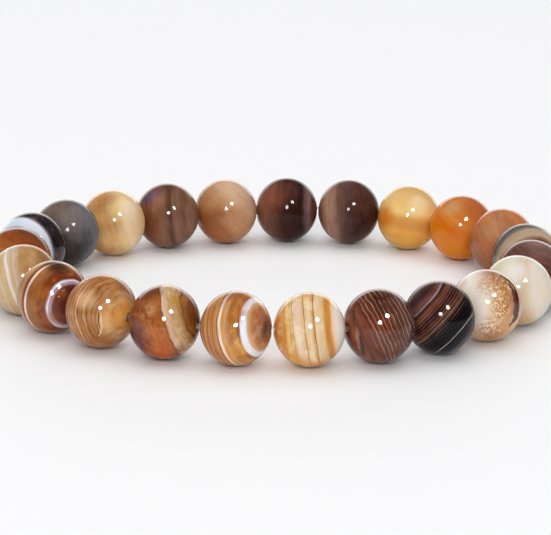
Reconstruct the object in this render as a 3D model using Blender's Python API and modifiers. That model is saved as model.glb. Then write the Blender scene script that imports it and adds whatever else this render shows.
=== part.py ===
"""A stretch bracelet of round banded agate beads, threaded on one clear elastic cord.

Metres, +Z up. The bracelet lies flat in a slightly oval ring. The origin is under the middle of the ring, on the
surface that the beads rest on. The beads are numbered counter-clockwise, from the front left.
"""

import math

import bpy
import numpy as np

BEAD_ACROSS = 0.0080        # diameter, square to the drilled hole
BEAD_ALONG = 0.00768        # pole to pole along the hole, before drilling: polishing leaves a bead slightly short
BEAD_ROOM = 0.00019         # cord between two beads' poles, so that they clear each other inside the bend
BORE_DIAMETER = 0.0010
BORE_CHAMFER = 0.00012
CORD_DIAMETER = 0.0007
CORD_BEND_REACH = 0.0009    # how far into each hole the cord starts to turn towards the next bead

# The ring's outline is a circle with a two-lobed swell, which makes it oval, and a weaker three-lobed one.
OVAL_SWELL = 0.069
OVAL_TURN = math.radians(26.0)
EGG_SWELL = 0.0158
EGG_TURN = math.radians(54.3)
FIRST_JOINT = math.radians(-107.1)

BEAD_SIDES = 16
BEAD_ARC_STEPS = 8
CORD_BEND_STEPS = 3
OUTLINE_SAMPLES = 4000

# One stone colour for each bead, in the order in which they are threaded.
STONE_COLOURS = {
    "amber_brown": (0.36, 0.14, 0.04),
    "pale_cream": (0.66, 0.46, 0.24),
    "dark_brown_fine_line": (0.10, 0.035, 0.022),
    "black_brown": (0.030, 0.014, 0.011),
    "speckled_white": (0.62, 0.50, 0.38),
    "ivory": (0.66, 0.60, 0.48),
    "mauve_brown": (0.20, 0.09, 0.07),
    "beige_and_grey": (0.40, 0.29, 0.20),
    "terracotta": (0.33, 0.11, 0.05),
    "vivid_orange": (0.56, 0.20, 0.04),
    "honey": (0.68, 0.39, 0.10),
    "dark_brown": (0.085, 0.035, 0.025),
    "plum_brown": (0.055, 0.021, 0.022),
    "peach_tan": (0.44, 0.23, 0.12),
    "umber": (0.15, 0.065, 0.04),
    "golden_tan": (0.50, 0.33, 0.14),
    "charcoal": (0.10, 0.085, 0.08),
    "black_and_white": (0.27, 0.25, 0.25),
    "brown_orange": (0.30, 0.12, 0.04),
    "clear_tan": (0.52, 0.33, 0.16),
    "chestnut": (0.22, 0.055, 0.025),
    "caramel": (0.43, 0.21, 0.08),
    "rust_and_olive": (0.34, 0.18, 0.09),
}
BEAD_COUNT = len(STONE_COLOURS)
CORD_COLOUR = (0.85, 0.87, 0.88)


def clear_scene():
    for obj in list(bpy.data.objects):
        bpy.data.objects.remove(obj, do_unlink=True)


def new_collection(name):
    collection = bpy.data.collections.new(name)
    bpy.context.scene.collection.children.link(collection)
    return collection


def new_material(name, colour, roughness, transmission=0.0):
    material = bpy.data.materials.new(name)
    material.use_nodes = True
    shader = material.node_tree.nodes["Principled BSDF"]
    shader.inputs["Base Color"].default_value = (*colour, 1.0)
    shader.inputs["Roughness"].default_value = roughness
    shader.inputs["Metallic"].default_value = 0.0
    shader.inputs["Transmission Weight"].default_value = transmission
    return material


def ring_joints():
    """The points where neighbouring beads meet: equal steps along the oval, scaled so that the beads fill it."""
    angles = FIRST_JOINT + np.linspace(0.0, 2.0 * math.pi, OUTLINE_SAMPLES + 1)
    radii = (1.0 + OVAL_SWELL * np.cos(2.0 * (angles - OVAL_TURN))
             + EGG_SWELL * np.cos(3.0 * (angles - EGG_TURN)))
    outline = np.column_stack([radii * np.cos(angles), radii * np.sin(angles)])
    walked = np.concatenate([[0.0], np.cumsum(np.linalg.norm(np.diff(outline, axis=0), axis=1))])
    stops = walked[-1] * np.arange(BEAD_COUNT) / BEAD_COUNT
    joints = np.column_stack([np.interp(stops, walked, outline[:, axis]) for axis in (0, 1)])
    steps = np.linalg.norm(np.roll(joints, -1, axis=0) - joints, axis=1)
    return joints * (BEAD_ALONG + BEAD_ROOM) / steps.mean()


def centred_on_beads(joints):
    """The joints moved so that the box round all the beads is centred on the origin."""
    ends = np.roll(joints, -1, axis=0)
    along = (ends - joints) / np.linalg.norm(ends - joints, axis=1)[:, None]
    reach = np.hypot(along * BEAD_ALONG, along[:, ::-1] * BEAD_ACROSS) / 2.0
    centres = (joints + ends) / 2.0
    return joints - ((centres - reach).min(axis=0) + (centres + reach).max(axis=0)) / 2.0


def bead_profile():
    """Half of a bead's section: down the polished outside, then up the wall of the hole, with both rims chamfered."""
    rim_radius = BORE_DIAMETER / 2.0 + BORE_CHAMFER
    rim_angle = math.asin(2.0 * rim_radius / BEAD_ACROSS)
    points = []
    for step in range(BEAD_ARC_STEPS + 1):
        angle = rim_angle + (math.pi - 2.0 * rim_angle) * step / BEAD_ARC_STEPS
        points.append((BEAD_ACROSS / 2.0 * math.sin(angle), BEAD_ALONG / 2.0 * math.cos(angle)))
    wall_end = points[0][1] - BORE_CHAMFER
    points += [(BORE_DIAMETER / 2.0, -wall_end), (BORE_DIAMETER / 2.0, wall_end)]
    return points


def turned_mesh(name, profile):
    """A mesh that holds a closed profile at +X, for a Screw modifier to turn about Z."""
    mesh = bpy.data.meshes.new(name)
    edges = [(index, (index + 1) % len(profile)) for index in range(len(profile))]
    mesh.from_pydata([(x, 0.0, z) for x, z in profile], edges, [])
    return mesh


def add_bead(collection, parent, name, mesh, material, start, end):
    bead = bpy.data.objects.new(name, mesh)
    collection.objects.link(bead)
    bead.parent = parent
    middle = (start + end) / 2.0
    heading = math.atan2(end[1] - start[1], end[0] - start[0])
    bead.location = (middle[0], middle[1], BEAD_ACROSS / 2.0)
    bead.rotation_euler = (0.0, math.pi / 2.0, heading)
    turn = bead.modifiers.new("turned", "SCREW")
    turn.axis = "Z"
    turn.angle = 2.0 * math.pi
    turn.screw_offset = 0.0
    turn.steps = turn.render_steps = BEAD_SIDES
    turn.use_merge_vertices = True
    turn.merge_threshold = 0.00001
    turn.use_smooth_shade = True
    bead.material_slots[0].link = "OBJECT"
    bead.material_slots[0].material = material
    return bead


def cord_route(joints):
    """Straight through each hole, and round a short curve where one bead meets the next."""
    before, after = np.roll(joints, 1, axis=0), np.roll(joints, -1, axis=0)
    route = []
    for last, joint, following in zip(before, joints, after):
        into = joint - CORD_BEND_REACH * (joint - last) / np.linalg.norm(joint - last)
        out = joint + CORD_BEND_REACH * (following - joint) / np.linalg.norm(following - joint)
        for step in range(CORD_BEND_STEPS + 1):
            t = step / CORD_BEND_STEPS
            route.append((1.0 - t) ** 2 * into + 2.0 * t * (1.0 - t) * joint + t * t * out)
    return route


def add_cord(collection, parent, name, material, joints):
    curve = bpy.data.curves.new(name, "CURVE")
    curve.dimensions = "3D"
    curve.twist_mode = "Z_UP"
    curve.bevel_depth = CORD_DIAMETER / 2.0
    curve.bevel_resolution = 2
    route = cord_route(joints)
    spline = curve.splines.new("POLY")
    spline.points.add(len(route) - 1)
    for point, (x, y) in zip(spline.points, route):
        point.co = (x, y, 0.0, 1.0)
    spline.use_cyclic_u = True
    curve.materials.append(material)
    cord = bpy.data.objects.new(name, curve)
    collection.objects.link(cord)
    cord.parent = parent
    cord.location = (0.0, 0.0, BEAD_ACROSS / 2.0)
    return cord


clear_scene()
bracelet = new_collection("agate_bead_bracelet")
middle_of_ring = bpy.data.objects.new("middle_of_ring", None)
bracelet.objects.link(middle_of_ring)

ring = centred_on_beads(ring_joints())
bead_mesh = turned_mesh("bead_profile", bead_profile())
bead_mesh.materials.append(None)
for index, (stone, stone_colour) in enumerate(STONE_COLOURS.items()):
    agate = new_material("agate_" + stone, stone_colour, roughness=0.08)
    add_bead(bracelet, middle_of_ring, f"bead_{index + 1:02d}", bead_mesh, agate,
             ring[index], ring[(index + 1) % BEAD_COUNT])

clear_elastic = new_material("clear_elastic", CORD_COLOUR, roughness=0.2, transmission=0.9)
add_cord(bracelet, middle_of_ring, "elastic_cord", clear_elastic, ring)
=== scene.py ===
"""A stretch bracelet of round banded agate beads, lying on a white table."""

import math

import bpy
import numpy as np
from mathutils import Matrix, Vector


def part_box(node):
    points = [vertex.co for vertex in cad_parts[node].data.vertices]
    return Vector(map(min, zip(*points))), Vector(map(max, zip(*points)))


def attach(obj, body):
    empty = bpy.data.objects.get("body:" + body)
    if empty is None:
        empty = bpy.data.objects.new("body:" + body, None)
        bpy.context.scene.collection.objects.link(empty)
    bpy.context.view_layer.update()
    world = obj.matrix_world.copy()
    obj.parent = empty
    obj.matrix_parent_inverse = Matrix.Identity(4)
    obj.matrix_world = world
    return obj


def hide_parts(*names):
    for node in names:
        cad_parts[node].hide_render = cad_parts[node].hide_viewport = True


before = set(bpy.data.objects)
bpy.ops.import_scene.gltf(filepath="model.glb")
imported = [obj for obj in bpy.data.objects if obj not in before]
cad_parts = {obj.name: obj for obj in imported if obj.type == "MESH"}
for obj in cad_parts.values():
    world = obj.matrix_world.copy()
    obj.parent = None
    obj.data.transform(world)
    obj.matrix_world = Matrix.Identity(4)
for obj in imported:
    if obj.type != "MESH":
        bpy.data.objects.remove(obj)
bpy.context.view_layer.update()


# The beads' shape
# Each bead is ground and polished round, a little shorter along its hole than across it, and drilled through
# with a 1 mm hole whose two mouths are chamfered. The frame gives each bead's place and its hole's direction.

BEAD_ACROSS = 0.0080
BEAD_ALONG = 0.00768
BORE_ACROSS = 0.0010
BORE_CHAMFER = 0.00012
BEAD_COUNT = sum(name.startswith("bead_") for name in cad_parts)
BEAD_SIDES = 96
BEAD_ARC_ROWS = 56
WALL_ROWS = 4
OUTER_ROW = 0.4             # of the wall's rows, at 0.17 and 0.5 to each side, those past this are on a rim
WELD_WITHIN = 1e-7
SHARP_FROM = math.radians(30)


class Wire:
    """One socket of a node tree. Arithmetic on wires adds Math nodes, and node() adds any other kind."""

    def __init__(self, tree, socket=None):
        self.tree = tree
        self.socket = socket

    def node(self, kind, inputs=None, output=0, stops=None, **settings):
        """Adds a node with these settings, ramp stops and input values or wires, and gives one output."""
        made = self.tree.nodes.new(kind)
        for name, value in settings.items():
            setattr(made, name, value)
        for number, (place, colour) in enumerate(stops or ()):
            elements = made.color_ramp.elements
            element = elements[number] if number < 2 else elements.new(place)
            element.position = place
            element.color = colour
        by_identifier = {socket.identifier: socket for socket in made.inputs}
        for key, value in (inputs or {}).items():
            target = by_identifier.get(key) or made.inputs[key]
            if isinstance(value, Wire):
                self.tree.links.new(value.socket, target)
            else:
                target.default_value = value
        by_identifier = {socket.identifier: socket for socket in made.outputs}
        return Wire(self.tree, by_identifier.get(output) or made.outputs[output]) if made.outputs else None

    def math(self, operation, *values):
        return self.node("ShaderNodeMath", dict(enumerate(values)), operation=operation)

    def vector(self, operation, *values, output=0, scale=1.0):
        inputs = {**dict(enumerate(values)), "Scale": scale}
        return self.node("ShaderNodeVectorMath", inputs, output, operation=operation)

    def __add__(self, other):
        return self.math("ADD", self, other)

    def __sub__(self, other):
        return self.math("SUBTRACT", self, other)

    def __rsub__(self, other):
        return self.math("SUBTRACT", other, self)

    def __mul__(self, other):
        return self.math("MULTIPLY", self, other)

    def __truediv__(self, other):
        return self.math("DIVIDE", self, other)

    __radd__ = __add__
    __rmul__ = __mul__


def geometry_tree(name, inputs):
    """A geometry tree with these named inputs, each a socket type, and the inputs as wires by name."""
    tree = bpy.data.node_groups.new(name, "GeometryNodeTree")
    for label, kind in inputs.items():
        tree.interface.new_socket(label, in_out="INPUT", socket_type=kind)
    tree.interface.new_socket("Geometry", in_out="OUTPUT", socket_type="NodeSocketGeometry")
    entry = tree.nodes.new("NodeGroupInput")
    return tree, {label: Wire(tree, entry.outputs[label]) for label in inputs}


def finish_tree(tree, geometry, material):
    """Ends a tree in real, smoothly shaded mesh with its material."""
    smooth = geometry.node("GeometryNodeSetShadeSmooth", {"Geometry": geometry})
    real = smooth.node("GeometryNodeRealizeInstances", {"Geometry": smooth})
    dressed = real.node("GeometryNodeSetMaterial", {"Geometry": real, "Material": material})
    tree.links.new(dressed.socket, tree.nodes.new("NodeGroupOutput").inputs[0])


def made_by(tree, name, values):
    """A plain mesh object that the tree makes from these input values."""
    holder = bpy.data.objects.new(name, bpy.data.meshes.new(name))
    bpy.context.scene.collection.objects.link(holder)
    modifier = holder.modifiers.new("made", "NODES")
    modifier.node_group = tree
    for socket in tree.interface.items_tree:
        if socket.in_out == "INPUT":
            modifier[socket.identifier] = values[socket.name]
    graph = bpy.context.evaluated_depsgraph_get()
    mesh = bpy.data.meshes.new_from_object(holder.evaluated_get(graph))
    bpy.data.objects.remove(holder)
    mesh.name = name
    mesh.set_sharp_from_angle(angle=SHARP_FROM)
    piece = bpy.data.objects.new(name, mesh)
    bpy.context.scene.collection.objects.link(piece)
    return piece


bead_tree, given = geometry_tree("drilled_bead", {
    "Across": "NodeSocketFloat", "Along": "NodeSocketFloat", "Bore": "NodeSocketFloat",
    "Chamfer": "NodeSocketFloat", "Sides": "NodeSocketInt", "Arc Rows": "NodeSocketInt",
    "Middle": "NodeSocketVector", "Hole": "NodeSocketVector", "Stone": "NodeSocketMaterial"})


def turned(rows, outline, flip):
    """A sheet of rows wrapped round the hole, at the radius and height that the outline gives each row."""
    start = given["Across"]
    sheet = start.node("GeometryNodeMeshGrid", {
        "Size X": 1.0, "Size Y": 1.0, "Vertices X": rows, "Vertices Y": given["Sides"] + 1})
    place = start.node("GeometryNodeInputPosition")
    row = start.node("ShaderNodeSeparateXYZ", {0: place}, "X")
    turn = start.node("ShaderNodeSeparateXYZ", {0: place}, "Y") * (2 * math.pi)
    radius, height = outline(row)
    wrapped = start.node("ShaderNodeCombineXYZ", {
        "X": radius * turn.math("COSINE", turn), "Y": radius * turn.math("SINE", turn), "Z": height})
    sheet = start.node("GeometryNodeSetPosition", {"Geometry": sheet, "Position": wrapped})
    return start.node("GeometryNodeFlipFaces", {"Mesh": sheet}) if flip else sheet


rim_radius = given["Bore"] / 2 + given["Chamfer"]
rim_angle = rim_radius.math("ARCSINE", rim_radius / (given["Across"] / 2))
rim_height = given["Along"] / 2 * rim_angle.math("COSINE", rim_angle)


def polished_arc(row):
    """From rim to rim over the outside, as the row goes from -0.5 to 0.5."""
    angle = math.pi / 2 + row * (math.pi - 2 * rim_angle)
    return given["Across"] / 2 * row.math("SINE", angle), given["Along"] / 2 * row.math("COSINE", angle)


def drilled_wall(row):
    """A rim, the end of its chamfer, then the same at the other mouth, with the straight wall between."""
    at_rim = row.math("GREATER_THAN", row.math("ABSOLUTE", row), OUTER_ROW)
    side = row.math("SIGN", row) * -1
    height = rim_height - (1 - at_rim) * given["Chamfer"]
    return given["Bore"] / 2 + at_rim * given["Chamfer"], side * height


both_sheets = rim_radius.node("GeometryNodeJoinGeometry")
outside = turned(given["Arc Rows"], polished_arc, flip=False)
bore = turned(WALL_ROWS, drilled_wall, flip=True)
for sheet in (outside, bore):
    bead_tree.links.new(sheet.socket, both_sheets.socket.node.inputs[0])
closed = both_sheets.node("GeometryNodeMergeByDistance", {
    "Geometry": both_sheets, "Distance": WELD_WITHIN})
aimed = closed.node("FunctionNodeAlignRotationToVector", {"Vector": given["Hole"]}, axis="Z")
bead_in_place = closed.node("GeometryNodeTransform", {
    "Geometry": closed, "Translation": given["Middle"], "Rotation": aimed})
finish_tree(bead_tree, bead_in_place, given["Stone"])


def bead_middle(node):
    low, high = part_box(node)
    return (low + high) / 2


def hole_direction(node):
    """Counter-clockwise round the ring along a bead's hole, the way in which its points spread most."""
    points = np.array([vertex.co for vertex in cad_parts[node].data.vertices])
    points -= points.mean(axis=0)
    along = np.linalg.eigh(points.T @ points)[1][:, -1]
    middle = bead_middle(node)
    return Vector(along) * math.copysign(1.0, middle.x * along[1] - middle.y * along[0])


# The agate
# Banded chalcedony, laid down in thin sheets, so that a bead cut from it shows nearly parallel bands of
# honey, brown, white and near black, with finer layers and milky clouds inside them, under a high polish.

SEEN_FROM = math.radians(14.75)     # the stones are described as seen from the front, this far above level
SEED_STEP = 7.3                     # how far apart two beads' stones lie in the noise that they are cut from
NOISE_ROUGHNESS = 0.55
LAYER_SIZE = 1.7
LAYERS_PER_BEND = 7.0               # how much thinner the fine layers are than the bands' bends
CLOUD_SIZE = 1.9
MILK = "e8d8c8"
DEEPER = 1.45                       # the gamma that gives a stone's darker layers
ZONE_EDGE = 0.04
VEIN_TIP = 0.3                      # a vein's width at its ends, as a share of its width between them
VEIN_SOFT = (0.72, 0.28)            # where a vein's edge starts and ends, as shares of its width
CLEAR_OF_VEIN = 9.0                 # this many widths from a vein is well past its edge
AGATE_IOR = 1.54
POLISH_ROUGHNESS = 0.035
LAYER_ROUGHNESS = 0.05
ORANGE_PEEL_SIZE = 3.5
ORANGE_PEEL_STRENGTH = 0.04
ORANGE_PEEL_DEPTH = 0.0004
LIGHT_REACH = 0.0008                # how deep light goes in, which is deepest for red
LIGHT_REACH_BY_COLOUR = (1.0, 0.5, 0.25)


def paint(hex_code):
    """A colour written as it looks on a screen, such as c47a38, as the linear values that a shader takes."""
    channels = [int(hex_code[i:i + 2], 16) / 255 for i in (0, 2, 4)]
    return tuple(c / 12.92 if c < 0.04045 else ((c + 0.055) / 1.055) ** 2.4 for c in channels) + (1.0,)


def mix(mask, first, second):
    """first where the mask is 0, second where it is 1."""
    return mask.node("ShaderNodeMix", {"Factor_Float": mask, "A_Color": first, "B_Color": second},
                     "Result_Color", data_type="RGBA")


def between(wire, low, high):
    """0 at low and 1 at high, smoothly between, whichever of the two is the larger number."""
    if low > high:
        return 1 - between(wire, high, low)
    return wire.node("ShaderNodeMapRange", {"Value": wire, "From Min": low, "From Max": high},
                     interpolation_type="SMOOTHSTEP")


def on_front(x, y):
    """The point of a bead's front surface at this place to the right and up, in bead radii."""
    return Vector((x, y, math.sqrt(max(0.0, 1 - x * x - y * y))))


class Stone:
    """One bead's agate, painted feature by feature.

    Places are in bead radii as seen from the front: x to the right, y up, z to the viewer. A step counts
    along the axis, which is square to the stone's bands, from -1 at one side of the bead to 1 at the other.
    """

    def __init__(self, name, bead, axis, seed, bend=0.05, bend_size=1.5):
        self.material = bpy.data.materials.new(name)
        self.material.use_nodes = True
        self.material.node_tree.nodes.clear()
        start = Wire(self.material.node_tree)
        self.slot = name
        self.bead = bead
        self.seed = seed
        self.place = start.node("ShaderNodeMapping", {
            "Vector": start.node("ShaderNodeTexCoord", output="Object"),
            "Location": bead_middle(bead),
            "Rotation": (math.pi / 2 - SEEN_FROM, 0, 0),
            "Scale": (BEAD_ACROSS / 2,) * 3}, vector_type="TEXTURE")
        across = Vector(axis).normalized()
        bent = self.shifted(2 * bend, bend_size)
        self.step = start.vector("DOT_PRODUCT", bent, tuple(across), output="Value")
        squeezed = start.vector("MULTIPLY_ADD", self.step, tuple(across * (LAYERS_PER_BEND - 1)), bent)
        self.layers = self.noise(LAYER_SIZE, 3.0, at=squeezed)
        self.colour = None

    def noise(self, size, detail, output=0, at=None, offset=0.0):
        return self.place.node("ShaderNodeTexNoise", {
            "Vector": at or self.place, "W": self.seed * SEED_STEP + offset, "Scale": size, "Detail": detail,
            "Roughness": NOISE_ROUGHNESS}, output, noise_dimensions="4D")

    def shifted(self, amount, size, offset=1.0):
        """The place, moved to and fro by a smooth noise."""
        shift = self.place.vector("SUBTRACT", self.noise(size, 2.0, output=1, offset=offset), (0.5,) * 3)
        return self.place.vector("MULTIPLY_ADD", shift, (amount,) * 3, self.place)

    def ground(self, *stops):
        """The broad bands: a colour at each of these steps, blending between them."""
        self.colour = self.place.node("ShaderNodeValToRGB", {"Fac": (self.step + 1) / 2},
                                      stops=[((at + 1) / 2, paint(colour)) for at, colour in stops])

    def cover(self, mask, colour):
        self.colour = mix(mask, self.colour, paint(colour))

    def zone(self, low, high):
        """1 between two steps and 0 outside them."""
        past_low = between(self.step, low - ZONE_EDGE, low + ZONE_EDGE)
        return past_low * between(self.step, high + ZONE_EDGE, high - ZONE_EDGE)

    def band(self, at, width, colour, soft=0.02, strength=1.0):
        """One band of this width at this step."""
        gap = self.step.math("ABSOLUTE", self.step - at)
        uneven = strength * (0.75 + 0.25 * between(self.noise(2.0, 2.0, offset=at), 0.3, 0.6))
        self.cover(between(gap, width / 2 + soft, width / 2 - soft * 0.5) * uneven, colour)

    def lines(self, spacing, width, colour, low=-1.0, high=1.0, strength=0.9):
        """A family of thin lines between two steps, about equally far apart, each fading in places."""
        phase = self.step / spacing + self.noise(1.1, 2.0, offset=5.0) * 0.8
        off_middle = phase.math("ABSOLUTE", phase.math("FRACT", phase) - 0.5)
        fading = between(self.noise(2.2, 2.0, offset=9.0), 0.30, 0.55)
        line = between(off_middle, width / spacing, 0.0)
        self.cover(line * self.zone(low, high) * fading * strength, colour)

    def mottle(self, size, colour, low=-1.0, high=1.0, strength=0.5):
        """Ragged blots between two steps, the smaller the larger the size is."""
        blots = between(self.noise(size, 5.0, offset=13.0), 0.48, 0.62)
        self.cover(blots * self.zone(low, high) * strength, colour)

    def patch(self, x, y, reach, colour, soft=0.2, strength=1.0, speckle=0.0, ragged=0.35):
        """A stain, or a painted glow or painted shade, round a point of the front, ragged or broken up in
        specks.
        """
        place = self.shifted(ragged, 2.5, offset=x * 3 + y * 5)
        away = self.place.vector("SUBTRACT", place, tuple(on_front(x, y)))
        far = self.place.vector("LENGTH", away, output="Value")
        mask = between(far, reach + soft, reach - soft) * strength
        if speckle:
            mask = mask * between(self.noise(speckle, 4.0, offset=11.0), 0.44, 0.56)
        self.cover(mask, colour)

    def vein(self, points, width, colour, strength=1.0, ragged=0.05):
        """A line from point to point of the front, wandering a little, this wide but thin at its two ends."""
        place = self.shifted(ragged, 3.0, offset=points[0][0] * 7)
        corners = [on_front(x, y) for x, y in points]
        widths = [width * VEIN_TIP] + [width] * (len(points) - 2) + [width * VEIN_TIP]
        nearest = CLEAR_OF_VEIN
        for start, end, wide, next_wide in zip(corners, corners[1:], widths, widths[1:]):
            along = end - start
            walked = self.place.vector("DOT_PRODUCT", self.place.vector("SUBTRACT", place, tuple(start)),
                                       tuple(along / along.length_squared), output="Value")
            walked = walked.node("ShaderNodeClamp", {"Value": walked})
            foot = self.place.vector("SCALE", tuple(along), scale=walked)
            away = self.place.vector("SUBTRACT", place, self.place.vector("ADD", foot, tuple(start)))
            gap = self.place.vector("LENGTH", away, output="Value") / (wide + walked * (next_wide - wide))
            nearest = gap.math("MINIMUM", gap, nearest)
        self.cover(between(nearest, *VEIN_SOFT) * strength, colour)

    def polish(self, glow, layers=0.35, clouds=0.35, milk=0.15, shine=0.30):
        """Adds fine layers, milky clouds and the shader: a high polish on a stone that light enters."""
        deep = self.place.node("ShaderNodeGamma", {"Color": self.colour, "Gamma": DEEPER})
        colour = mix(between(self.layers, 0.60, 0.38) * layers, self.colour, deep)
        cloud = self.noise(CLOUD_SIZE, 5.0, offset=17.0)
        colour = mix(between(cloud, 0.52, 0.30) * clouds, colour, deep)
        colour = mix(between(cloud, 0.50, 0.72) * milk, colour, paint(MILK))
        roughness = POLISH_ROUGHNESS + LAYER_ROUGHNESS * self.layers
        orange_peel = self.place.node("ShaderNodeBump", {
            "Height": self.noise(ORANGE_PEEL_SIZE, 2.0, offset=23.0), "Strength": ORANGE_PEEL_STRENGTH,
            "Distance": ORANGE_PEEL_DEPTH})
        shader = self.place.node("ShaderNodeBsdfPrincipled", {
            "Base Color": colour, "Roughness": roughness, "Normal": orange_peel, "IOR": AGATE_IOR,
            "Specular IOR Level": shine, "Subsurface Weight": glow, "Subsurface Scale": LIGHT_REACH,
            "Subsurface Radius": LIGHT_REACH_BY_COLOUR})
        self.place.node("ShaderNodeOutputMaterial", {"Surface": shader})


def agate(number, stone, axis, **bends):
    return Stone("agate_" + stone, f"bead_{number:02d}", axis, seed=number, **bends)


def string_bead(stone):
    """Makes the bead that a stone's material is for, in the place that the frame gives it."""
    bead = made_by(bead_tree, stone.slot.replace("agate_", "") + "_bead", {
        "Across": BEAD_ACROSS, "Along": BEAD_ALONG, "Bore": BORE_ACROSS, "Chamfer": BORE_CHAMFER,
        "Sides": BEAD_SIDES, "Arc Rows": BEAD_ARC_ROWS, "Middle": bead_middle(stone.bead),
        "Hole": hole_direction(stone.bead), "Stone": stone.material})
    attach(bead, "root")
    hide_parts(stone.bead)


# The front left stones
# Clear tan, chestnut, caramel and rust and olive agates, ground and drilled like all the others, the first
# four of the ring's near side. The bands of the middle two face right and forward, so that they show as
# arcs, and those of the outer two stand nearly upright.

stone = agate(20, "clear_tan", axis=(0.93, 0.30, 0.2), bend=0.04)
stone.ground((-1.0, "c1a98a"), (-0.6, "ceb89b"), (-0.35, "cdaf82"), (-0.1, "d1ba93"), (0.1, "d0b8a1"),
             (0.3, "b78d57"), (0.6, "b98d57"), (0.8, "9b6e3e"), (1.0, "b08857"))
stone.band(-0.13, 0.07, "eadedc", soft=0.04, strength=0.9)
stone.band(-0.40, 0.05, "e4d8d0", soft=0.04, strength=0.4)
stone.lines(0.12, 0.014, "9b6e43", low=-0.1, high=0.9, strength=0.4)
stone.polish(glow=0.4, milk=0.2)
string_bead(stone)

stone = agate(21, "chestnut", axis=(0.614, -0.227, 0.756), bend=0.03)
stone.ground((-1.0, "d6ae6b"), (-0.5, "bc905f"), (-0.25, "ab764d"), (-0.12, "cf9f73"), (0.0, "a26844"),
             (0.07, "763b22"), (0.19, "a6662d"), (0.35, "a07347"), (0.52, "87401a"), (0.64, "813b12"),
             (0.78, "7f3c1a"), (0.86, "522921"), (1.0, "2d0e06"))
stone.mottle(3.0, "c68541", low=0.2, high=0.62, strength=0.5)
stone.band(0.132, 0.075, "f3e1d2", soft=0.022)
stone.band(0.740, 0.085, "b9a2b7", soft=0.03)
stone.band(0.722, 0.022, "f3f3f3", soft=0.015, strength=0.9)
# Painted shade: darkens the top of the bead.
stone.patch(0.15, 0.85, 0.3, "48281a", strength=0.9)
stone.patch(-0.25, 0.1, 0.25, "b0712c", strength=0.7)
stone.patch(0.0, -0.6, 0.2, "a86429", strength=0.6)
stone.patch(0.35, 0.10, 0.10, "a86429", strength=0.8)
stone.patch(0.25, -0.2, 0.15, "722c15", strength=0.7)
stone.patch(0.28, -0.52, 0.15, "7e3e23", strength=0.8)
stone.patch(-0.45, 0.15, 0.2, "8e4e2b", soft=0.25, strength=0.6)
stone.polish(glow=0.25, layers=0.5, milk=0.03)
string_bead(stone)

stone = agate(22, "caramel", axis=(0.642, -0.108, 0.759), bend=0.13, bend_size=1.4)
stone.ground((-1.0, "af6c3a"), (-0.6, "d19260"), (-0.2, "bd8255"), (0.05, "d19c6e"), (0.12, "bb7e44"),
             (0.18, "dca97e"), (0.26, "ca8f5b"), (0.32, "a26c35"), (0.38, "d19c6a"), (0.48, "b2763c"),
             (0.53, "a66e35"), (0.60, "c88f59"), (0.68, "ab723c"), (0.74, "cb9363"), (0.81, "be9263"),
             (0.88, "dca96e"), (1.0, "dd9544"))
stone.lines(0.12, 0.040, "6e3d1c", low=-0.35, high=0.72, strength=0.85)
stone.mottle(4.0, "996d36", low=-0.2, high=1.0, strength=0.35)
stone.patch(0.74, -0.10, 0.26, "e8a54b", strength=0.6)
stone.patch(0.35, 0.45, 0.16, "ba8752", strength=0.7)
# Painted glow: deep orange light that comes through the stone and gathers at its bottom.
stone.patch(0.1, -0.88, 0.35, "a66a31", strength=0.8)
stone.patch(-0.35, 0.30, 0.22, "f3d0ac", strength=0.6)
stone.patch(0.55, 0.72, 0.2, "8e5228", strength=0.6)
stone.vein(((-0.02, 0.10), (-0.01, -0.18), (0.02, -0.45), (-0.07, -0.72)), 0.045, "6c3d1a", ragged=0.16)
stone.vein(((0.05, 0.02), (0.055, -0.22), (0.085, -0.44), (0.01, -0.68)), 0.085, "eac8a0", 0.8, ragged=0.16)
# Painted shade: darkens the top of the bead.
stone.patch(-0.1, 0.88, 0.30, "9c6331", soft=0.3, strength=0.6)
stone.polish(glow=0.3, layers=0.45)
string_bead(stone)

stone = agate(23, "rust_and_olive", axis=(0.937, 0.295, 0.186), bend=0.13, bend_size=1.9)
stone.ground((-1.0, "37160d"), (-0.84, "713724"), (-0.72, "722a17"), (-0.5, "8a411c"), (-0.2, "955327"),
             (0.05, "9e5b28"), (0.18, "a36325"), (0.235, "854c1d"), (0.25, "d3a58e"), (0.30, "d8bda6"),
             (0.37, "cba881"), (0.48, "c8a57e"), (0.58, "bf9767"), (0.66, "af8149"), (0.71, "926138"),
             (0.75, "a26a34"), (0.86, "844e27"), (1.0, "73320a"))
stone.band(0.72, 0.014, "492910", soft=0.014, strength=0.8)
stone.lines(0.12, 0.018, "713a1d", low=-0.85, high=0.2, strength=0.6)
stone.lines(0.10, 0.014, "906f3b", low=0.32, high=0.70, strength=0.6)
stone.mottle(3.2, "c5834a", low=-0.8, high=0.18, strength=0.4)
stone.mottle(4.5, "d6bf96", low=0.28, high=0.68, strength=0.4)
stone.patch(-0.42, 0.30, 0.18, "d8a572", strength=0.7, speckle=3.0)
# Painted shade: darkens the top of the bead.
stone.patch(-0.30, 0.78, 0.2, "603119", strength=0.9)
stone.patch(-0.72, -0.40, 0.3, "642b1e", strength=0.85)
stone.patch(0.32, 0.60, 0.15, "c08d2e", strength=0.9)
stone.patch(0.45, 0.15, 0.10, "a3814c", strength=0.6)
# Painted glow: orange light that comes through the stone and gathers at its bottom.
stone.patch(0.0, -0.82, 0.28, "c26123", strength=0.9)
stone.patch(0.42, -0.80, 0.2, "924d1e", strength=0.8)
stone.patch(-0.10, -0.35, 0.28, "c06b30", strength=0.7)
stone.polish(glow=0.25, layers=0.5, milk=0.08)
string_bead(stone)


# The front middle stones
# Amber with two white bands, a pale cream, and two dark brown agates with fine lines, drilled and strung like
# the others. These four show best, so they carry the most bands and lines.

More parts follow.
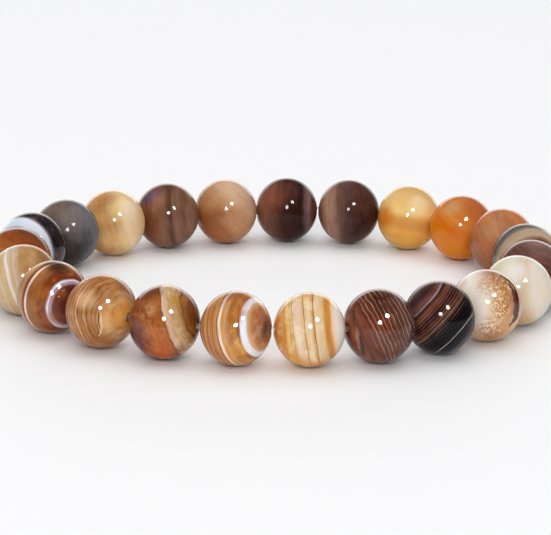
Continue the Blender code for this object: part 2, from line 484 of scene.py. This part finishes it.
stone = agate(1, "amber_brown", axis=(0.846, 0.082, 0.526), bend=0.035)
stone.ground((-1.0, "69422b"), (-0.70, "9c6d45"), (-0.58, "cfa475"), (-0.48, "b26632"), (-0.40, "e3a568"),
             (-0.31, "a66837"), (-0.22, "c98e50"), (-0.13, "ac6b38"), (-0.02, "c99157"), (0.06, "995d29"),
             (0.18, "d7a04c"), (0.26, "d3ad80"), (0.38, "b47131"), (0.48, "c0854a"), (0.58, "9d5e27"),
             (0.61, "995421"), (0.75, "dab289"), (0.82, "c08857"), (0.90, "a66d4a"), (0.94, "84594c"),
             (0.975, "55352f"), (1.0, "3d2723"))
stone.lines(0.07, 0.016, "f2dcaf", low=-0.75, high=0.05, strength=0.25)
stone.lines(0.05, 0.014, "9c5f21", low=0.16, high=0.60, strength=0.6)
stone.band(0.111, 0.075, "f2ded3", soft=0.022)
stone.band(0.672, 0.115, "efeff5", soft=0.03)
stone.mottle(3.5, "e2a44d", low=0.16, high=0.60, strength=0.5)
stone.mottle(4.0, "e0b285", low=0.76, high=0.97, strength=0.35)
stone.patch(0.0, -0.25, 0.12, "f3d986", strength=0.8, speckle=3.0)
# Painted glow: a paler golden spot low on the bead, where light through the stone gathers.
stone.patch(0.10, -0.50, 0.14, "efbe68", strength=0.7)
stone.patch(0.12, 0.48, 0.15, "ab622b", strength=0.7)
# Painted shade: darkens the top of the bead.
stone.patch(-0.02, 0.88, 0.30, "8f4615", soft=0.3, strength=0.75)
stone.patch(0.60, 0.33, 0.12, "b35a27", strength=0.8)
stone.patch(0.55, 0.80, 0.15, "f3edcc", strength=0.7)
stone.polish(glow=0.25, layers=0.5, milk=0.05)
string_bead(stone)

stone = agate(2, "pale_cream", axis=(0.985, 0.143, 0.095), bend=0.03, bend_size=1.8)
stone.ground((-1.0, "b8641a"), (-0.90, "dca55a"), (-0.80, "dd9236"), (-0.72, "e1953e"), (-0.64, "da9d52"),
             (-0.57, "d99b44"), (-0.50, "f0cf8d"), (-0.42, "d8a655"), (-0.34, "e3c194"), (-0.22, "e7d1bb"),
             (-0.12, "e2c9aa"), (-0.06, "deb685"), (0.02, "e3c598"), (0.12, "e5cdad"), (0.20, "d49e56"),
             (0.28, "e8cca7"), (0.38, "ddc59e"), (0.46, "e2b97f"), (0.50, "d29548"), (0.57, "d08c41"),
             (0.63, "db9d4f"), (0.68, "f3d0a5"), (0.76, "f3e6d9"), (0.90, "f3eadd"), (1.0, "c7a288"))
stone.lines(0.085, 0.012, "b4792e", low=-0.85, high=-0.38, strength=0.6)
stone.lines(0.06, 0.010, "d0a468", low=-0.35, high=0.48, strength=0.5)
stone.mottle(3.5, "f3e5c3", low=-0.80, high=0.48, strength=0.45)
stone.band(-0.349, 0.012, "8b5523", soft=0.02, strength=0.6)
stone.band(-0.027, 0.010, "533111", soft=0.012, strength=0.95)
stone.band(0.227, 0.010, "533111", soft=0.012, strength=0.95)
# Painted glow: golden light that comes through the stone and gathers at its bottom, in these two patches.
stone.patch(-0.35, -0.85, 0.36, "e0a038", strength=0.8)
stone.patch(0.30, -0.92, 0.30, "dc9440", strength=0.7)
stone.patch(-0.15, 0.92, 0.22, "d7a663", strength=0.6)
stone.polish(glow=0.4, layers=0.4, clouds=0.12, milk=0.05)
string_bead(stone)

stone = agate(3, "dark_brown_fine_line", axis=(0.883, 0.468, -0.033), bend=0.09, bend_size=1.8)
stone.ground((-1.0, "39120c"), (-0.85, "682819"), (-0.75, "86492b"), (-0.66, "89553f"), (-0.56, "683a28"),
             (-0.45, "7f452c"), (-0.3, "62301e"), (-0.05, "683318"), (0.1, "572910"), (0.35, "542c1e"),
             (0.7, "5b3128"), (1.0, "371f1a"))
stone.mottle(2.6, "8e4d28", low=-0.5, high=0.5, strength=0.35)
stone.patch(0.02, 0.05, 0.25, "723213", strength=0.8)
# Painted shade: darkens the top of the bead.
stone.patch(0.0, 0.88, 0.35, "3c1b0f", soft=0.3, strength=0.6)
stone.patch(-0.72, -0.35, 0.12, "a95e24", strength=0.8)
stone.vein(((-0.66, 0.0), (-0.62, -0.2), (-0.60, -0.42), (-0.54, -0.64)), 0.13, "998a83", 0.6, ragged=0.12)
stone.vein(((-0.56, -0.2), (-0.50, -0.42), (-0.45, -0.60), (-0.36, -0.82)), 0.14, "28130e", 0.7, ragged=0.12)
stone.lines(0.115, 0.017, "c1a08e", low=-0.32, high=1.0, strength=0.75)
stone.lines(0.052, 0.008, "987159", low=0.30, high=1.0, strength=0.6)
stone.vein(((-0.62, 0.66), (-0.72, 0.50), (-0.74, 0.34), (-0.68, 0.18), (-0.60, 0.06)), 0.065, "190c0c", 0.9,
           ragged=0.1)
stone.polish(glow=0.15, layers=0.45, milk=0.02, shine=0.36)
string_bead(stone)

stone = agate(4, "black_brown", axis=(0.754, -0.643, -0.136), bend=0.04)
stone.ground((-1.0, "65433f"), (-0.82, "462c2d"), (-0.70, "774b42"), (-0.60, "341d1b"), (-0.50, "7b4b39"),
             (-0.40, "533027"), (-0.30, "29181b"), (-0.20, "4d2a1d"), (-0.12, "5f3825"), (-0.04, "1e1112"),
             (0.05, "180f14"), (0.3, "0f0a0c"), (0.6, "110c0e"), (1.0, "181114"))
stone.band(-0.637, 0.02, "af989c", soft=0.025, strength=0.8)
stone.lines(0.075, 0.012, "b07f68", low=-0.55, high=0.15, strength=0.6)
stone.band(-0.03, 0.010, "d3b08e", soft=0.012, strength=0.6)
stone.band(0.498, 0.014, "c2b4b7", soft=0.012, strength=0.9)
stone.band(0.80, 0.012, "a196a1", soft=0.012, strength=0.7)
stone.polish(glow=0.1, layers=0.6, milk=0.0, shine=0.16)
string_bead(stone)


# The right-hand stones
# A white agate speckled with rust, an ivory one, and mauve brown, beige and terracotta ones. They stand one
# behind the other where the cord turns to the far side, so of the last three only a part shows.

stone = agate(5, "speckled_white", axis=(0.85, -0.15, 0.2), bend=0.08)
stone.ground((-1.0, "a96f4e"), (-0.90, "cb9679"), (-0.75, "e4c4b0"), (-0.55, "f3e9df"), (-0.2, "e8dcd1"),
             (0.10, "ebddd0"), (0.35, "ead3b2"), (0.60, "f0d3ab"), (0.80, "daa978"), (0.93, "dcad91"),
             (1.0, "e0baa4"))
stone.mottle(3.0, "e9d1b8", low=-0.8, high=0.3, strength=0.4)
# Painted shade: darkens the top of the bead.
stone.patch(0.10, 0.90, 0.32, "a0683c", soft=0.3, strength=0.85)
stone.patch(0.05, -0.98, 0.34, "ce9c63", strength=0.9)
stone.patch(-0.35, -0.80, 0.30, "dcaf8e", strength=0.8)
stone.patch(0.30, 0.72, 0.32, "9f5923", strength=0.9, speckle=12.0)
stone.patch(0.42, 0.48, 0.32, "a5611e", speckle=15.0)
stone.patch(0.40, 0.30, 0.32, "be8334", speckle=11.0, strength=0.8)
stone.patch(0.42, -0.05, 0.34, "b47530", speckle=18.0)
stone.patch(0.15, -0.70, 0.42, "b07644", speckle=14.0, strength=0.8)
stone.patch(-0.05, 0.66, 0.28, "c69e75", strength=0.6, speckle=15.0)
stone.patch(0.0, 0.55, 0.30, "c38e5f", strength=0.6, speckle=16.0)
stone.patch(0.48, -0.50, 0.22, "c4976f", strength=0.7)
stone.patch(0.20, -0.88, 0.30, "b27b4f", strength=0.8)
stone.vein(((0.58, 0.58), (0.74, 0.28), (0.77, -0.06), (0.68, -0.36)), 0.34, "461509", 0.9, ragged=0.35)
stone.vein(((0.52, 0.50), (0.63, 0.22), (0.64, -0.10), (0.56, -0.36)), 0.16, "c38e75", 0.8, ragged=0.3)
stone.vein(((0.33, 0.84), (0.58, 0.68), (0.74, 0.46), (0.82, 0.16), (0.83, -0.12), (0.77, -0.34),
            (0.60, -0.55)), 0.15, "531505", ragged=0.25)
stone.polish(glow=0.4, layers=0.2, clouds=0.12, milk=0.1)
string_bead(stone)

stone = agate(6, "ivory", axis=(1.0, 0.1, 0.3), bend=0.04)
stone.ground((-1.0, "ccbd9f"), (-0.4, "dad1ba"), (0.0, "e0d9c9"), (0.25, "d9cbbe"), (0.40, "dac6a7"),
             (0.6, "e4dacd"), (1.0, "ebdecd"))
# Painted glow: golden light that comes through the stone and gathers at its bottom.
stone.patch(0.0, -0.85, 0.4, "d4ac77", strength=0.7)
stone.patch(-0.2, 0.5, 0.3, "e9e6e2", strength=0.7)
stone.polish(glow=0.45, layers=0.25, clouds=0.2, milk=0.15)
string_bead(stone)

stone = agate(7, "mauve_brown", axis=(0.3, 0.9, 0.3))
stone.ground((-1.0, "4a2a22"), (0.2, "643a30"), (0.7, "704840"), (1.0, "886a60"))
stone.lines(0.16, 0.02, "9a7468", strength=0.3)
stone.polish(glow=0.2, milk=0.05)
string_bead(stone)

stone = agate(8, "beige_and_grey", axis=(0.25, -0.35, 0.9))
stone.ground((-1.0, "3c302c"), (0.08, "6c6259"), (0.16, "8a7f73"), (0.24, "b49c84"), (0.45, "c0a88c"),
             (0.52, "a07c68"), (0.60, "6e4a40"), (1.0, "5c3a30"))
stone.polish(glow=0.2, milk=0.05)
string_bead(stone)

stone = agate(9, "terracotta", axis=(0.75, 0.55, 0.3))
stone.ground((-1.0, "8a5b46"), (-0.4, "b36b42"), (0.0, "bd723e"), (0.25, "c78351"), (0.42, "b37b58"),
             (1.0, "c97c48"))
stone.patch(-0.45, 0.25, 0.30, "bd9270", soft=0.3, strength=0.6)
stone.patch(-0.10, -0.40, 0.30, "a8431f", soft=0.3, strength=0.6)
stone.polish(glow=0.25, milk=0.04)
string_bead(stone)


# The far side's right-hand stones
# Vivid orange and honey agates, which light enters easily, and dark brown and plum ones, which it hardly
# enters, on the same cord with their holes in line. The dark ones' bands stand upright, the orange one's
# slant and the honey one's lie nearly flat.

stone = agate(10, "vivid_orange", axis=(0.55, 0.8, 0.2))
stone.ground((-1.0, "dc880d"), (-0.5, "d97f0f"), (-0.1, "d5750b"), (0.2, "d98a3c"), (0.45, "d27f38"),
             (0.8, "c37d47"), (1.0, "b1622a"))
stone.patch(-0.35, 0.6, 0.25, "c59c6e", strength=0.8)
stone.patch(0.40, 0.60, 0.35, "b8551b", soft=0.35, strength=0.6)
stone.polish(glow=0.5, layers=0.25, clouds=0.2, milk=0.0)
string_bead(stone)

stone = agate(11, "honey", axis=(0.15, 1.0, 0.1), bend=0.1, bend_size=1.0)
stone.ground((-1.0, "d3a249"), (-0.4, "e3a649"), (-0.2, "cf8f3b"), (0.0, "dca859"), (0.2, "f2d18a"),
             (0.4, "edc881"), (1.0, "d4ad6f"))
stone.patch(-0.8, 0.0, 0.35, "d3791a", strength=0.85)
stone.patch(0.3, 0.4, 0.3, "f3e1bd", strength=0.6)
stone.polish(glow=0.5, layers=0.2, clouds=0.15, milk=0.1)
string_bead(stone)

stone = agate(12, "dark_brown", axis=(1.0, 0.1, 0.2))
stone.ground((-1.0, "775248"), (-0.78, "8a5b43"), (-0.58, "ab846b"), (-0.35, "9d7968"), (-0.15, "705144"),
             (0.1, "614540"), (0.4, "593730"), (1.0, "4d2b1f"))
stone.patch(0.25, -0.50, 0.50, "220d08", soft=0.45, strength=0.6)
stone.polish(glow=0.15, milk=0.0, shine=0.12)
string_bead(stone)

stone = agate(13, "plum_brown", axis=(1.0, 0.05, 0.1))
stone.ground((-1.0, "95502a"), (-0.6, "7f5a49"), (-0.3, "6a4638"), (0.0, "46231d"), (0.45, "351613"),
             (0.54, "321b1a"), (0.64, "725654"), (0.74, "886a68"), (0.84, "623a35"), (1.0, "54352f"))
stone.patch(-0.5, 0.35, 0.40, "925740", soft=0.35, strength=0.6)
stone.patch(0.1, 0.6, 0.30, "5f3b36", soft=0.35, strength=0.6)
stone.patch(0.10, -0.55, 0.50, "220e0a", soft=0.45, strength=0.5)
stone.polish(glow=0.1, milk=0.0, shine=0.12)
string_bead(stone)


# The far side's left-hand stones
# A peach agate with soft slanting bands, umber and golden tan ones with nearly upright bands, and a charcoal
# one that is almost plain. They are strung like the others, hole to hole.

stone = agate(14, "peach_tan", axis=(0.6, 0.75, 0.1))
stone.ground((-1.0, "a9591e"), (-0.5, "b07144"), (-0.1, "b88458"), (0.3, "c4976f"), (1.0, "caa991"))
stone.patch(0.35, 0.45, 0.35, "d3af92", strength=0.7)
stone.patch(-0.15, -0.15, 0.35, "a5612c", soft=0.3, strength=0.6)
stone.patch(-0.35, -0.45, 0.40, "7c4420", soft=0.35, strength=0.5)
stone.patch(0.10, 0.85, 0.35, "dcbda0", soft=0.3, strength=0.6)
stone.polish(glow=0.45, layers=0.25, milk=0.1)
string_bead(stone)

stone = agate(15, "umber", axis=(1.0, 0.1, 0.1))
stone.ground((-1.0, "95684b"), (-0.7, "7f4f31"), (-0.4, "7d4b31"), (-0.2, "8b5f45"), (0.0, "86614d"),
             (0.13, "6c4b3b"), (0.22, "5b3a28"), (0.32, "7f5c48"), (0.45, "855f4d"), (0.6, "76523d"),
             (0.8, "8b6652"), (1.0, "704b3b"))
stone.patch(-0.5, 0.6, 0.3, "5d4b62", strength=0.8)
stone.patch(-0.3, 0.4, 0.2, "a87862", soft=0.3, strength=0.6)
# Painted shade: darkens the top of the bead.
stone.patch(0.0, 0.9, 0.3, "5e3a26", soft=0.3, strength=0.7)
stone.patch(-0.35, -0.45, 0.3, "663618", soft=0.3, strength=0.5)
stone.polish(glow=0.2, milk=0.0, shine=0.2)
string_bead(stone)

stone = agate(16, "golden_tan", axis=(1.0, 0.2, 0.2))
stone.ground((-1.0, "d39c6e"), (-0.5, "d6a263"), (-0.1, "e7ba7c"), (0.10, "deba8b"), (0.25, "debe8f"),
             (0.40, "e4c590"), (0.6, "eacea8"), (1.0, "e4c193"))
stone.patch(-0.30, 0.55, 0.36, "a2692f", soft=0.35, strength=0.85)
stone.patch(-0.5, -0.1, 0.3, "ebbc79", strength=0.7)
stone.patch(0.1, -0.6, 0.3, "f3c685", strength=0.6)
stone.patch(0.05, -0.15, 0.30, "b18146", soft=0.3, strength=0.7)
stone.patch(0.05, -0.85, 0.30, "ad7e42", soft=0.3, strength=0.7)
stone.patch(0.42, 0.50, 0.25, "f3e5c2", soft=0.25, strength=0.7)
stone.patch(0.08, 0.40, 0.20, "efd491", soft=0.3, strength=0.6)
stone.patch(0.55, 0.30, 0.22, "ecdcc4", soft=0.3, strength=0.6)
stone.polish(glow=0.45, clouds=0.4, milk=0.25)
string_bead(stone)

stone = agate(17, "charcoal", axis=(1.0, 0.1, 0.2))
stone.ground((-1.0, "685748"), (-0.5, "776558"), (0.0, "6e5e55"), (0.6, "6d696e"), (1.0, "6c6e73"))
stone.patch(0.15, 0.45, 0.45, "8b7b73", soft=0.4, strength=0.5)
stone.patch(0.3, -0.6, 0.55, "281f18", soft=0.4, strength=0.8)
stone.polish(glow=0.1, layers=0.2, milk=0.03, shine=0.12)
string_bead(stone)


# The left-hand stones
# A polished black agate with a wide blue-white band, and a brown and orange one, strung where the cord turns
# back to the front. Both show only in part.

stone = agate(18, "black_and_white", axis=(0.511, 0.289, -0.81), bend=0.03)
stone.ground((-1.0, "8a6a60"), (-0.66, "a08c88"), (-0.58, "d6deea"), (-0.33, "dde6f2"), (-0.26, "6a5c66"),
             (-0.20, "1e1214"), (-0.1, "2a1a1c"), (0.5, "1a1010"), (1.0, "1a1010"))
stone.polish(glow=0.2, milk=0.1)
string_bead(stone)

stone = agate(19, "brown_orange", axis=(0.3, 0.85, 0.3))
stone.ground((-1.0, "6a4030"), (0.0, "a08080"), (0.3, "b89878"), (0.5, "a8662c"), (0.8, "944a18"),
             (1.0, "7a4020"))
stone.polish(glow=0.3, milk=0.05)
string_bead(stone)


# The cord
# One clear stretch cord of elastic plastic runs through every hole and turns a little where one bead meets
# the next, where it shows as a glint. Its knot is pulled into a hole, out of sight.

CORD_ACROSS = 0.0007
CORD_SIDES = 16
BEAD_ROOM = 0.00019
CORD_BEND_RADIUS = 0.0055
CORD_BEND_STEPS = 8
CLEAR = (0.92, 0.94, 0.95, 1)

cord_tree, given = geometry_tree("clear_cord", {
    "Corners": "NodeSocketObject", "Across": "NodeSocketFloat", "Bend Radius": "NodeSocketFloat",
    "Bend Steps": "NodeSocketInt", "Sides": "NodeSocketInt", "Plastic": "NodeSocketMaterial"})
corners = given["Corners"].node("GeometryNodeObjectInfo", {"Object": given["Corners"]}, "Geometry")
straight = corners.node("GeometryNodeMeshToCurve", {"Mesh": corners})
bent = corners.node("GeometryNodeFilletCurve", {
    "Curve": straight, "Count": given["Bend Steps"], "Radius": given["Bend Radius"]}, mode="POLY")
section = corners.node("GeometryNodeCurvePrimitiveCircle", {
    "Resolution": given["Sides"], "Radius": given["Across"] / 2})
finish_tree(cord_tree, corners.node("GeometryNodeCurveToMesh", {"Curve": bent, "Profile Curve": section}),
            given["Plastic"])

elastic = bpy.data.materials.new("clear_elastic")
elastic.use_nodes = True
elastic.node_tree.nodes.clear()
start = Wire(elastic.node_tree)
start.node("ShaderNodeOutputMaterial", {"Surface": start.node("ShaderNodeBsdfPrincipled", {
    "Base Color": CLEAR, "Roughness": 0.12, "IOR": 1.48, "Transmission Weight": 0.9})})

meeting_points = []
for number in range(BEAD_COUNT):
    bead = f"bead_{number + 1:02d}"
    meeting_points.append(bead_middle(bead) + hole_direction(bead) * (BEAD_ALONG + BEAD_ROOM) / 2)
ring = bpy.data.meshes.new("ring_corners")
ring.from_pydata(meeting_points, [(number, (number + 1) % BEAD_COUNT) for number in range(BEAD_COUNT)], [])
ring_corners = bpy.data.objects.new("ring_corners", ring)
bpy.context.scene.collection.objects.link(ring_corners)
cord = made_by(cord_tree, "stretch_cord", {
    "Corners": ring_corners, "Across": CORD_ACROSS, "Bend Radius": CORD_BEND_RADIUS,
    "Bend Steps": CORD_BEND_STEPS, "Sides": CORD_SIDES, "Plastic": elastic})
bpy.data.objects.remove(ring_corners)
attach(cord, "root")
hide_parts("elastic_cord")


# The table, the light and the camera
# The bracelet lies on a white table with a lit white backdrop far behind it, under a wide soft lamp and a
# weaker one in front. Two round lamps leave the two glints that every polished bead shows, and a long lens
# looks a little down on it.

TABLE_SIZE = 3.0
TABLE_WHITE = (0.90, 0.90, 0.91, 1.0)
BACKDROP_WHITE = (1.8, 1.8, 1.8, 1.0)
ROOM_GREY = (0.16, 0.16, 0.165, 1.0)
LAMP_ACROSS = 0.065
CAMERA_PLACE = (0.00007, -0.3015, 0.0830)
CAMERA_ROLL = math.radians(1.79)
CAMERA_LENS = 175.5
FRONT_OF_RING = (0.0, -0.027, 0.004)
MIDDLE_OF_RING = (0.0, 0.0, 0.0)

scene = bpy.context.scene
scene.view_settings.view_transform = "Standard"

table_mesh = bpy.data.meshes.new("table")
edge = TABLE_SIZE / 2
table_corners = [(-edge, -edge, 0), (edge, -edge, 0), (edge, edge, 0), (-edge, edge, 0)]
table_mesh.from_pydata(table_corners, [], [(0, 1, 2, 3)])
white = bpy.data.materials.new("white_table")
white.use_nodes = True
white.node_tree.nodes.clear()
start = Wire(white.node_tree)
start.node("ShaderNodeOutputMaterial", {"Surface": start.node(
    "ShaderNodeBsdfPrincipled", {"Base Color": TABLE_WHITE, "Roughness": 0.6, "Specular IOR Level": 0.3})})
table_mesh.materials.append(white)
table = bpy.data.objects.new("table", table_mesh)
scene.collection.objects.link(table)


def lamp(name, place, aim, across, power, shape="SQUARE", glint=False):
    light = bpy.data.lights.new(name, "AREA")
    light.shape = shape
    light.size = across
    light.energy = power
    stand = bpy.data.objects.new(name, light)
    stand.location = place
    stand.rotation_euler = (Vector(place) - Vector(aim)).to_track_quat("Z", "Y").to_euler()
    stand.visible_camera = False
    stand.visible_glossy = glint
    stand.visible_diffuse = not glint
    scene.collection.objects.link(stand)


lamp("lamp_above_lens", (0.000, -0.296, 0.137), FRONT_OF_RING, LAMP_ACROSS, 0.66, "DISK", glint=True)
lamp("lamp_front_right", (0.1125, -0.206, 0.217), FRONT_OF_RING, LAMP_ACROSS, 0.75, "DISK", glint=True)
lamp("soft_front", (-0.1, -0.90, 0.50), MIDDLE_OF_RING, 0.6, 6.0)
lamp("soft_overhead", (0.0, 0.25, 0.9), MIDDLE_OF_RING, 1.5, 9.8)

world = bpy.data.worlds.new("studio")
world.use_nodes = True
world.node_tree.nodes.clear()
scene.world = world
start = Wire(world.node_tree)
direction = start.node("ShaderNodeTexCoord", output="Generated")
behind = start.node("ShaderNodeSeparateXYZ", {0: direction}, "Y")
above = start.node("ShaderNodeSeparateXYZ", {0: direction}, "Z")
on_backdrop = between(behind, 0.70, 0.93) * between(above, 0.50, 0.30)
start.node("ShaderNodeOutputWorld", {"Surface": start.node("ShaderNodeBackground", {
    "Color": mix(on_backdrop, ROOM_GREY, BACKDROP_WHITE), "Strength": 1.0})})

camera = bpy.data.cameras.new("camera")
camera.lens = CAMERA_LENS
camera.sensor_width = 36.0
camera.sensor_fit = "HORIZONTAL"
camera.clip_start = 0.01
camera.clip_end = 10.0
camera_stand = bpy.data.objects.new("camera", camera)
camera_stand.matrix_world = (Matrix.Translation(CAMERA_PLACE)
                             @ Matrix.Rotation(math.pi / 2 - SEEN_FROM, 4, "X")
                             @ Matrix.Rotation(CAMERA_ROLL, 4, "Z"))
scene.collection.objects.link(camera_stand)
scene.camera = camera_stand
